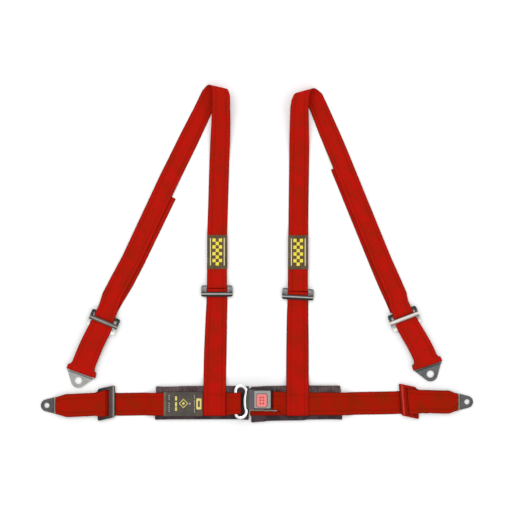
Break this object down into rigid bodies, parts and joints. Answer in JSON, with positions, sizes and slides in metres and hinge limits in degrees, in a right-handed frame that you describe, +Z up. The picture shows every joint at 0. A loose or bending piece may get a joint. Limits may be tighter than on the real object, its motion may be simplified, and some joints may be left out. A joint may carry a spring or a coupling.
{
  "type": "racing harness",
  "caption": "Racing harness laid flat: padded webbing lap belt with a push-button buckle, folded shoulder straps, adjusters, sliders and steel bolt-in brackets.",
  "frame": {"origin": "on the surface that the harness lies on, under the middle of its outline", "axes": "+X along the lap belt towards the buckle's half, +Y from the lap belt towards the folds of the shoulder straps, +Z up"},
  "size_m": [0.9468, 0.7382, 0.0298],
  "materials": {
    "red_webbing": "woven",
    "pad_cloth": "ribbed weave",
    "label_cloth": "woven label",
    "dark_steel": "dark plated",
    "bright_steel": "zinc plated",
    "red_coated_steel": "gloss",
    "chrome": "polished",
    "buckle_plastic": "satin",
    "button_plastic": "gloss"
  },
  "bodies": {
    "right_half": {"pelvic_pad_right": "pad_cloth", "lap_webbing_right": "red_webbing", "buckle_backing_flap": "red_webbing", "shoulder_webbing_lower_right": "red_webbing", "buckle_base": "bright_steel", "buckle_cover": "buckle_plastic", "buckle_bezel": "bright_steel", "belt_bar": "bright_steel", "latch_pin": "bright_steel", "latch_spring": "dark_steel"},
    "button": {"release_button": "button_plastic"},
    "latch": {"latch_lever": "dark_steel"},
    "left_half": {"pelvic_pad_left": "pad_cloth", "lap_webbing_left": "red_webbing", "lap_label": "label_cloth", "shoulder_webbing_lower_left": "red_webbing", "tongue": "chrome"},
    "shoulder_left": {"shoulder_adjuster_left": "dark_steel", "adjuster_bight_left": "red_webbing", "shoulder_webbing_upper_left": "red_webbing", "shoulder_label_left": "label_cloth", "shoulder_tail_left": "red_webbing"},
    "rear_anchor_left": {"rear_slider_left": "dark_steel", "rear_loop_left": "red_webbing"},
    "shoulder_bracket_left": {"shoulder_bracket_left": "bright_steel"},
    "lap_anchor_left": {"lap_slider_left": "dark_steel", "lap_loop_left": "red_webbing"},
    "lap_bracket_left": {"lap_bracket_left": "dark_steel"},
    "shoulder_right": {"shoulder_adjuster_right": "dark_steel", "adjuster_bight_right": "red_webbing", "shoulder_webbing_upper_right": "red_webbing", "shoulder_label_right": "label_cloth", "shoulder_tail_right": "red_webbing"},
    "rear_anchor_right": {"rear_slider_right": "dark_steel", "rear_loop_right": "red_webbing"},
    "shoulder_bracket_right": {"shoulder_bracket_right": "dark_steel"},
    "lap_anchor_right": {"lap_slider_right": "red_coated_steel", "lap_loop_right": "red_webbing"},
    "lap_bracket_right": {"lap_bracket_right": "dark_steel"}
  },
  "joints": [
    {"name": "button_press", "type": "slide", "parent": "right_half", "child": "button", "axis": [0, 0, -1], "range_m": [0, 0.002], "stiffness_N_per_m": 800},
    {"name": "latch_turn", "type": "hinge", "parent": "right_half", "child": "latch", "pos_m": [0.0255, -0.32914, 0.01535], "axis": [0, -1, 0], "range_deg": [0, 7.5], "deforming": ["latch_spring"]},
    {"name": "tongue_release", "type": "slide", "parent": "right_half", "child": "left_half", "axis": [-1, 0, 0], "range_m": [0, 0.08]},
    {"name": "shoulder_adjust_left", "type": "slide", "parent": "left_half", "child": "shoulder_left", "axis": [0, 1, 0], "range_m": [0, 0.05]},
    {"name": "rear_adjust_left", "type": "slide", "parent": "shoulder_left", "child": "rear_anchor_left", "axis": [0.3843, 0.9232, 0], "range_m": [-0.006, 0.045]},
    {"name": "shoulder_bracket_hinge_left", "type": "hinge", "parent": "rear_anchor_left", "child": "shoulder_bracket_left", "pos_m": [-0.3839, -0.25764, 0.0051], "axis": [-0.9426, 0.3338, 0], "range_deg": [0, 60]},
    {"name": "lap_adjust_left", "type": "slide", "parent": "left_half", "child": "lap_anchor_left", "axis": [1, 0, 0], "range_m": [-0.012, 0.04]},
    {"name": "lap_bracket_hinge_left", "type": "hinge", "parent": "lap_anchor_left", "child": "lap_bracket_left", "pos_m": [-0.436, -0.33264, 0.0051], "axis": [0, 1, 0], "range_deg": [0, 80]},
    {"name": "shoulder_adjust_right", "type": "slide", "parent": "right_half", "child": "shoulder_right", "axis": [0, 1, 0], "range_m": [0, 0.05]},
    {"name": "rear_adjust_right", "type": "slide", "parent": "shoulder_right", "child": "rear_anchor_right", "axis": [-0.3584, 0.9336, 0], "range_m": [-0.006, 0.045]},
    {"name": "shoulder_bracket_hinge_right", "type": "hinge", "parent": "rear_anchor_right", "child": "shoulder_bracket_right", "pos_m": [0.3725, -0.24144, 0.0051], "axis": [-0.9483, -0.3173, 0], "range_deg": [0, 60]},
    {"name": "lap_adjust_right", "type": "slide", "parent": "right_half", "child": "lap_anchor_right", "axis": [-1, 0, 0], "range_m": [-0.012, 0.04]},
    {"name": "lap_bracket_hinge_right", "type": "hinge", "parent": "lap_anchor_right", "child": "lap_bracket_right", "pos_m": [0.436, -0.32494, 0.0051], "axis": [0, -1, 0], "range_deg": [0, 80]}
  ],
  "couplings": [
    {"joint": "latch_turn", "follows": "button_press", "rad_per_m": 62.5}
  ]
}
